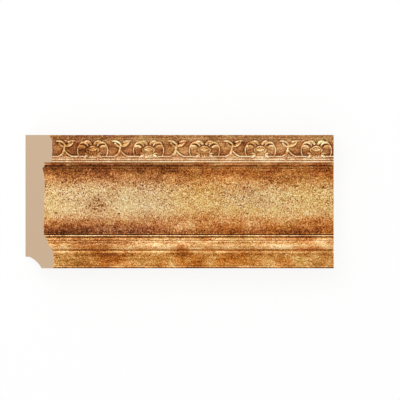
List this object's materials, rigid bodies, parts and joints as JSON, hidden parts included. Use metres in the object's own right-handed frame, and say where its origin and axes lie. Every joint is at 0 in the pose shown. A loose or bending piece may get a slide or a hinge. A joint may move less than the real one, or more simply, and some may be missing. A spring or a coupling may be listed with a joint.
{
  "type": "skirting board",
  "caption": "Moulded skirting board with an ornamented frieze, a bowed face, reeded base mouldings and one mitred end.",
  "frame": {"origin": "centre of the board's outline, on the plane of its back, which lies on the floor", "axes": "+X along the board towards its square end, +Y from the foot towards the top edge, +Z out of the wall through the decorated face"},
  "size_m": [0.208, 0.09, 0.019],
  "materials": {
    "gilded_foam": "antique gilt on beige foamed polystyrene"
  },
  "bodies": {
    "root": {"skirting_board": "gilded_foam"}
  },
  "joints": []
}
